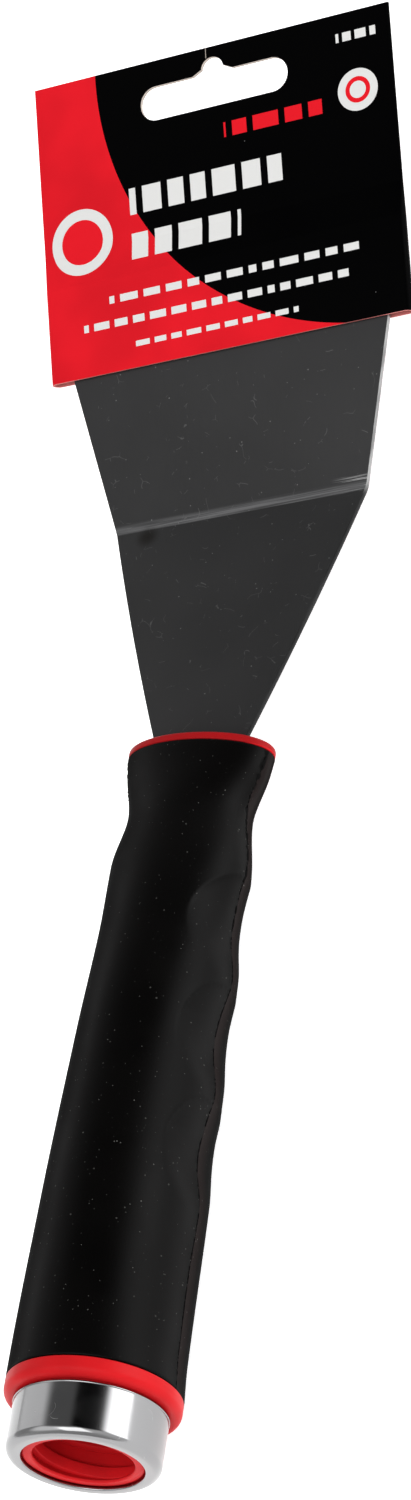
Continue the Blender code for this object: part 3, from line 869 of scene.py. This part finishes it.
class SCRAPER_OT_core(bpy.types.Operator):
    """Build the red moulding: socket, flange, body under the grip, and collar"""

    bl_idname = "scraper.core"
    bl_label = "Build Core"

    def execute(self, context):
        sides = 160
        bore = handle().socket_radius
        crest = bore - handle().thread_height
        profile = [(bore - SOCKET_ROUND, RIM)]
        profile += [(bore, place) for place in spread(RIM - SOCKET_ROUND, 2.6 * MM, 6)]
        profile += quarter(crest + LIP_ROUND, LIP_AT + LIP_ROUND, LIP_ROUND, 1, 12)
        profile += quarter(LIP_FLAT, LIP_AT + SPIGOT_ROUND, SPIGOT_ROUND, 1.5, 8)
        profile += quarter(SPIGOT_RADIUS - SPIGOT_ROUND, LIP_AT + 2 * SPIGOT_ROUND, SPIGOT_ROUND, 1.5, 6)
        profile.append((SPIGOT_RADIUS, FLANGE_AT))
        profile += quarter(FLANGE_RADIUS - FLANGE_ROUND, FLANGE_AT + FLANGE_ROUND, FLANGE_ROUND, 1.5, 10)
        profile += quarter(FLANGE_RADIUS - FLANGE_EDGE, FLANGE_END - FLANGE_EDGE, FLANGE_EDGE, 0, 4)
        rings = circles(profile, sides)
        rings += ovals([(-GRIP_WALL, place) for place in spread(FLANGE_END, COLLAR_AT, 60)], sides)
        width, height = COLLAR_DOME
        collar = quarter(-COLLAR_EDGE, COLLAR_AT + COLLAR_EDGE, COLLAR_EDGE, 1.5, 3)
        collar += quarter(-width, HANDLE_END - height, width, 0, 14, height)
        rings += ovals(collar, sides, COLLAR_SIZES)
        piece = skin("core_moulding", rings, make_plastic_finish())
        cut(piece, self.tang_pocket())
        settle(piece)
        return place_piece(piece, "scraper", "red_plastic", "handle_core")

    def tang_pocket(self):
        """The room for the blade's tang, leaving a peg in each of its holes."""
        half = blade().thickness / 2 + CONTACT
        root = blade().root_width / 2
        stations = ((TANG_TIP - CONTACT, TANG_HALF_WIDTH),
                    (TANG_SHOULDER - TANG_SLOPE - CONTACT, TANG_HALF_WIDTH),
                    (TANG_SHOULDER - CONTACT, root), (HANDLE_END + 2 * MM, root))
        pocket = skin("pocket", [plate_ring(place, width + CONTACT, half) for place, width in stations])
        cut(pocket, *tang_pins(TANG_HOLE_RADIUS - CONTACT, half + 1 * MM))
        return pocket


class SCRAPER_OT_grip(bpy.types.Operator):
    """Build the soft black grip with its finger scoops"""

    bl_idname = "scraper.grip"
    bl_label = "Build Grip"

    def execute(self, context):
        sides = 216
        bottom, top = FLANGE_END + CONTACT, COLLAR_AT - CONTACT
        first, last = bottom + GRIP_EDGE, top - GRIP_EDGE
        rings = ovals(quarter(-GRIP_EDGE, first, GRIP_EDGE, 1.5, 5), sides, grip_size(first))
        rings += [oval(place, grip_size(place), sides, scooped=True)
                  for place in spread(first, last, 300)[1:-1]]
        rings += ovals(quarter(-GRIP_EDGE, last, GRIP_EDGE, 0, 5), sides, grip_size(last))
        rings += ovals([(CONTACT - GRIP_WALL, place) for place in spread(top, bottom, 60)], sides)
        piece = skin("grip_overmould", rings, make_grip_finish(), joined=True)
        return place_piece(piece, "scraper", "black_overmould", "grip")


class SCRAPER_OT_ferrule(bpy.types.Operator):
    """Build the chromed cap over the butt"""

    bl_idname = "scraper.ferrule"
    bl_label = "Build Cap"

    def execute(self, context):
        bead = handle().bead
        outside = FERRULE_RADIUS - BEAD_PROUD
        hole = FERRULE_RADIUS - FERRULE_LIP
        outer_round, inner_round = 0.25 * MM, 0.15 * MM
        corner = (outside - FERRULE_ROUND, FERRULE_ROUND)
        profile = quarter(hole + outer_round, outer_round, outer_round, 1, 6)
        profile += quarter(*corner, FERRULE_ROUND, 1.5, 14)
        profile += [(outside, FERRULE_LENGTH - 2 * bead), (outside + 0.02 * MM, FERRULE_LENGTH - 1.15 * bead)]
        profile += arc((FERRULE_RADIUS - bead / 2, FERRULE_LENGTH - bead / 2), bead / 2, -0.3, 0.5, 8)
        profile.append((outside - FERRULE_WALL, FERRULE_LENGTH))
        profile += reversed(quarter(*corner, FERRULE_ROUND - FERRULE_WALL, 1.5, 8))
        profile += quarter(hole + inner_round, FERRULE_WALL - inner_round, inner_round, 0.5, 4)
        piece = skin("butt_cap", circles(profile, 200), make_chrome_finish(), joined=True)
        return place_piece(piece, "scraper", "chromed_steel", "ferrule")


# Geometry nodes


def start_shape_tree(name, sizes):
    """A geometry node tree with a path, named sizes and a material."""
    return start_tree(name, "GeometryNodeTree", {"Geometry": "Geometry", **sizes, "Material": "Material"},
                      {"Geometry": "Geometry"})


def finish_shape_tree(given, end, shape):
    """Ends a tree in real geometry with its material."""
    real = add_node(shape.tree, "GeometryNodeRealizeInstances", {"Geometry": shape})[0]
    inputs = {"Geometry": real, "Material": given["Material"]}
    feed(end, {"Geometry": add_node(shape.tree, "GeometryNodeSetMaterial", inputs)[0]})


def run_shape_tree(piece, tree, **values):
    """Gives a piece the tree's shape, with inputs set by their identifiers."""
    modifier = piece.modifiers.new(tree.name, "NODES")
    modifier.node_group = tree
    sockets = {item.name: item.identifier for item in tree.interface.items_tree if item.in_out == "INPUT"}
    for name, value in titled(values).items():
        modifier[sockets[name]] = value
    apply_modifiers(piece)


def make_thread_tree():
    """A helical ridge with a flat crest round the Y axis, which rises and runs out gently at its ends."""
    tree, given, end = start_shape_tree("pole_thread", {
        "Turns": 6.0, "Pitch": 5.08 * MM, "Wall Radius": 9.7 * MM, "Ridge Height": 1.2 * MM,
        "Root Width": 3.0 * MM, "Crest Width": 1.9 * MM, "Run In": 0.25, "Start": 0.0, "Start Angle": 0.0})

    def moved(shape, place=(0, 0, 0), turn=(0, 0, 0)):
        inputs = {"Geometry": shape, "Translation": place, "Rotation": turn}
        return add_node(tree, "GeometryNodeTransform", inputs)[0]

    def along_axis(axis, value):
        return add_node(tree, "ShaderNodeCombineXYZ", {axis: value})[0]

    helix = add_node(tree, "GeometryNodeCurveSpiral", {
        "Resolution": 72, "Rotations": given["Turns"], "Start Radius": given["Wall Radius"],
        "End Radius": given["Wall Radius"], "Height": given["Turns"] * given["Pitch"], "Reverse": True})[0]
    upright = add_node(tree, "GeometryNodeSetCurveNormal", {"Curve": helix}, mode="Z_UP")[0]
    share = add_node(tree, "GeometryNodeSplineParameter")["Factor"]
    taper = share.smaller(1.0 - share).ramp(0.0, given["Run In"] / given["Turns"], 0.02, 1.0)
    ridge = add_node(tree, "GeometryNodeCurvePrimitiveQuadrilateral", {
        "Bottom Width": given["Root Width"], "Top Width": given["Crest Width"],
        "Height": given["Ridge Height"], "Offset": 0.0}, mode="TRAPEZOID")[0]
    raised = moved(ridge, along_axis("X", given["Ridge Height"] * -0.5), (0, 0, math.pi / 2))
    rounded = add_node(
        tree, "GeometryNodeFilletCurve", {"Curve": raised, "Radius": 0.25 * MM, "Count": 3}, mode="POLY")[0]
    swept = add_node(tree, "GeometryNodeCurveToMesh", {
        "Curve": upright, "Profile Curve": rounded, "Scale": taper, "Fill Caps": True})[0]
    started = moved(swept, turn=along_axis("Z", given["Start Angle"]))
    turned = moved(started, along_axis("Y", given["Start"]), (-math.pi / 2, 0, 0))
    finish_shape_tree(given, end, turned)
    return tree


class SCRAPER_OT_thread(bpy.types.Operator):
    """Build the pole thread's ridge inside the socket"""

    bl_idname = "scraper.thread"
    bl_label = "Build Thread"

    def execute(self, context):
        piece = add_object("socket_thread", [], [], [])
        pitch = handle().thread_pitch
        # The ridge starts 100 degrees before the socket's lower side, where its middle is 2.4 mm from the
        # rim, and ends 3.5 mm from the socket's floor
        start_turn = math.radians(100)
        start = 2.4 * MM - pitch * start_turn / math.tau
        run_shape_tree(
            piece, make_thread_tree(), turns=(RIM - 3.5 * MM - start) / pitch, pitch=pitch,
            wall_radius=handle().socket_radius + 0.08 * MM, ridge_height=handle().thread_height,
            root_width=3.0 * MM, crest_width=1.9 * MM, run_in=0.25, start=start - RIM,
            start_angle=math.pi / 2 - start_turn, material=bpy.data.materials["red_moulding"])
        settle(piece, 40)
        return place_piece(piece, "scraper", "red_plastic")


def make_seam_tree():
    """Small uneven beads along a path, like the flash that a mould's parting line leaves."""
    tree, given, end = start_shape_tree("parting_beads", {
        "Spacing": 0.9 * MM, "Bead Length": 0.5 * MM, "Bead Width": 0.14 * MM, "Seed": 7})
    path = add_node(tree, "GeometryNodeMeshToCurve", {"Mesh": given["Geometry"]})[0]
    even = add_node(
        tree, "GeometryNodeCurveToPoints", {"Curve": path, "Length": given["Spacing"]}, mode="LENGTH")
    chance = add_node(tree, "FunctionNodeRandomValue", {"Probability": 0.62, "Seed": given["Seed"]},
                      data_type="BOOLEAN")[3]
    bead = add_node(tree, "GeometryNodeMeshIcoSphere", {"Radius": 1.0, "Subdivisions": 2})[0]
    placed = add_node(tree, "GeometryNodeInstanceOnPoints", {
        "Points": even["Points"], "Selection": chance, "Instance": bead, "Rotation": even["Rotation"]})[0]
    longer = add_node(tree, "FunctionNodeRandomValue", {2: 0.5, 3: 1.6, "Seed": given["Seed"]},
                      data_type="FLOAT")[1]
    width, long = given["Bead Width"], given["Bead Length"] * longer
    size = add_node(tree, "ShaderNodeCombineXYZ", {"X": width, "Y": width, "Z": long})[0]
    sized = add_node(tree, "GeometryNodeScaleInstances", {"Instances": placed, "Scale": size})[0]
    finish_shape_tree(given, end, sized)
    return tree


class SCRAPER_OT_seam(bpy.types.Operator):
    """Build the flash along the grip's parting line"""

    bl_idname = "scraper.seam"
    bl_label = "Build Parting Line"

    def execute(self, context):
        points, edges = [], []
        for side in (1, -1):
            first = len(points)
            for place in spread(FLANGE_END + 1 * MM, COLLAR_AT - 1 * MM, 160):
                palm, finger, thick = grip_size(place)
                lift = seam_lift(place)
                out = finger - scoop_depth(place, lift) if side > 0 else palm
                out *= math.sqrt(1 - (lift / thick) ** 2)
                points.append((side * out, place - RIM - slant(place) * side * out, lift))
            edges += [(i, i + 1) for i in range(first, len(points) - 1)]
        piece = add_object("parting_line", points, edges, [])
        run_shape_tree(
            piece, make_seam_tree(), spacing=0.9 * MM, bead_length=0.36 * MM,
            bead_width=handle().seam_width * 0.5, seed=7, material=bpy.data.materials["soft_black"])
        settle(piece, 60)
        return place_piece(piece, "scraper", "black_overmould")


# Hang card


def card_place(x, up, lift):
    """A point on the card: across it, along the blade's front part, and off that part's middle plane."""
    angle = blade().bend_angle
    y = BEND_AT - RIM + up * math.cos(angle) - lift * math.sin(angle)
    return (x, y, up * math.sin(angle) + lift * math.cos(angle))


def card_ring(up, half_width, half_thickness):
    """A ring across the card: flat faces with a round fold at each side."""
    fold = arc((half_width - half_thickness, 0), half_thickness, -0.5, 0.5, 16)
    return [card_place(side * out, up, side * lift) for side in (1, -1) for out, lift in fold]


def slot_outline():
    """The hang slot: long with round ends, and a round-topped hump in its upper edge."""
    long, high, hump, foot, rise = 16.1 * MM, 3.45 * MM, 2.4 * MM, 2.0 * MM, 3.1 * MM
    points = arc((long - high, 0), high, -0.5, 0.5, 24)
    points.append((hump + foot, high))
    hump_end = 0.12 / math.pi
    points += arc((0, high + rise - hump), hump, hump_end, 1 - hump_end, 20)
    points.append((-hump - foot, high))
    return points + arc((high - long, 0), high, 0.5, 1.5, 24)


class SCRAPER_OT_card(bpy.types.Operator):
    """Build the hang card"""

    bl_idname = "scraper.card"
    bl_label = "Build Hang Card"

    def execute(self, context):
        board = card().board
        clearance = 0.45 * MM
        room = blade().thickness / 2 + clearance
        half_width = blade().edge_width / 2 + clearance + board
        mouth = blade().front_length - card().overlap
        top = mouth + card().height
        # The two sheets come together just past the scraping edge, and are one sheet near the top
        pinch_from = blade().front_length + 0.3 * MM
        pinch_to = pinch_from + 7 * MM
        closed_from = top - 4 * MM
        outside = ((pinch_from, room + board), (pinch_to, board))
        inside = ((pinch_from, room), (pinch_to, 0.03 * MM))
        printed, bare = make_print_finish(), make_board_finish()

        def sleeve(name, start, end, width, halves, *materials):
            places = (start, *spread(pinch_from, pinch_to, 24), end)
            rings = [card_ring(place, width, smooth_value(halves, place)) for place in places]
            return skin(name, rings, *materials)

        piece = sleeve("card_sleeve", mouth, top, half_width, outside, printed, bare)
        hollow = sleeve("hollow", mouth - 1 * MM, closed_from, half_width - board, inside, bare)
        slot_rings = [[card_place(x + 0.8 * MM, top - card().slot_drop + y, lift) for x, y in slot_outline()]
                      for lift in (-2 * MM, 2 * MM)]
        cut(piece, hollow, skin("slot", slot_rings, bare))
        settle(piece, 30)
        lean = Vector(card_place(0, 1, 0)) - Vector(card_place(0, 0, 0))
        for face in piece.data.polygons:
            if abs(face.normal.dot(lean)) > 0.9:
                face.material_index = 1
        return place_piece(piece, "card", "printed_board", "hang_card")


# Stage


def place_object(name, data, place, turn):
    item = bpy.data.objects.new(name, data)
    item.location, item.rotation_euler = place, turn
    bpy.context.scene.collection.objects.link(item)
    return item


def make_room():
    """Even pale light from all round, with patches of the room that gloss and chrome show."""
    world = bpy.data.worlds.new("room")
    bpy.context.scene.world = world
    world.use_nodes = True
    where = add_node(world.node_tree, "ShaderNodeTexCoord")["Generated"]

    def toward(direction, low, high):
        return vector_math("DOT_PRODUCT", where, Vector(direction).normalized())["Value"].ramp(low, high)

    band = abs(axes(where)[1] - 0.36).ramp(0.05, 0.09, 1.0, 0.0)
    light = grey(1.0)
    for patch, brightness in (
            (toward((-0.70, 0.30, 0.65), 0.2, 0.8), 0.5),  # left wall
            (toward((0.0, -1.0, 0.15), 0.45, 0.9), 0.55),  # front wall
            (toward((-0.43, -0.25, 0.87), 0.82, 0.95), 1.5),  # overhead
            (band * toward((-0.79, 0.36, 0.50), 0.84, 0.93), 1.3),  # pale band
            (toward((-0.16, 0.36, 0.92), 0.85, 0.965), 0.17),  # dusk
            (toward((0.486, 0.3645, 0.794), 0.88, 0.945), 0.001),  # black screen
            (toward((0.91, 0.3645, 0.20), 0.885, 0.97), 4.4)):  # window
        light = blend(patch, light, grey(brightness))
    feed(world.node_tree.nodes["Background"], {"Color": light, "Strength": stage().room_light})


class SCRAPER_OT_stage(bpy.types.Operator):
    """Build the floor, the light and the camera"""

    bl_idname = "scraper.stage"
    bl_label = "Build Stage"

    def execute(self, context):
        self.make_floor(far=4.0, height=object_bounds()[0].z - 0.2 * MM)
        make_room()
        lamp = bpy.data.lights.new("key", "AREA")
        lamp.shape = "RECTANGLE"
        lamp.size = lamp.size_y = 1.8
        lamp.energy = stage().key_light
        place = Vector((0.4, -1.2, 2.3))
        place_object("key", lamp, place, (Vector((0, 0.1, 0)) - place).to_track_quat("-Z", "Y").to_euler())
        camera = bpy.data.cameras.new("camera")
        camera.lens = stage().lens
        camera.sensor_width = 36
        camera.clip_start = 0.01
        context.scene.camera = place_object("camera", camera, stage().camera_place, stage().camera_turn)
        context.scene.view_settings.view_transform = "Standard"
        return {"FINISHED"}

    def make_floor(self, far, height):
        """A pale matte floor that glows a little, so that it stays even."""
        corners = [(x, y, height) for x, y in ((-far, -far), (far, -far), (far, far), (-far, far))]
        floor = add_object("floor", corners, [], [(0, 1, 2, 3)])
        material, place = start_material("pale_floor", 0.9)
        _, patch = grain_of(place, 2.0, 160.0)
        feed(material.node_tree.nodes["Principled BSDF"], {
            "Base Color": blend(patch, grey(0.93), grey(0.95)),
            "Emission Color": grey(1.0), "Emission Strength": 0.68})
        floor.data.materials.append(material)
        floor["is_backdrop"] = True


class SCRAPER_PT_panel(bpy.types.Panel):
    """Lists the scraper's pieces and sizes"""

    bl_label = "Pole Scraper"
    bl_idname = "SCRAPER_PT_panel"
    bl_space_type = "VIEW_3D"
    bl_region_type = "UI"
    bl_category = "Scraper"

    def draw(self, context):
        for operator in OPERATORS:
            self.layout.operator(operator.bl_idname)
        for name, (title, _) in SETTINGS.items():
            self.layout.label(text=title)
            settings = getattr(context.scene, name)
            for setting in settings.bl_rna.properties.keys():
                if setting not in ("rna_type", "name"):
                    self.layout.prop(settings, setting)


OPERATORS = (
    SCRAPER_OT_blade, SCRAPER_OT_core, SCRAPER_OT_thread, SCRAPER_OT_grip, SCRAPER_OT_seam,
    SCRAPER_OT_ferrule, SCRAPER_OT_card, SCRAPER_OT_stage,
)
SETTINGS = {
    "scraper_handle": ("Handle", ScraperHandle),
    "scraper_blade": ("Blade", ScraperBlade),
    "scraper_card": ("Hang Card", ScraperCard),
    "scraper_finish": ("Finishes", ScraperFinish),
    "scraper_stage": ("Stage", ScraperStage),
}


def register():
    for name, (_, group) in SETTINGS.items():
        bpy.utils.register_class(group)
        setattr(bpy.types.Scene, name, bpy.props.PointerProperty(type=group))
    for item in (*OPERATORS, SCRAPER_PT_panel):
        bpy.utils.register_class(item)


def unregister():
    for item in reversed((*OPERATORS, SCRAPER_PT_panel)):
        bpy.utils.unregister_class(item)
    for name, (_, group) in reversed(SETTINGS.items()):
        delattr(bpy.types.Scene, name)
        bpy.utils.unregister_class(group)


def main():
    register()
    for make_group in (make_grain_group, make_specks_group, make_scratches_group, make_line_group):
        make_group()
    bpy.ops.scraper.blade()
    bpy.ops.scraper.core()
    bpy.ops.scraper.thread()
    bpy.ops.scraper.grip()
    bpy.ops.scraper.seam()
    bpy.ops.scraper.ferrule()
    bpy.ops.scraper.card()
    bpy.ops.scraper.stage()


if __name__ == "__main__":
    main()
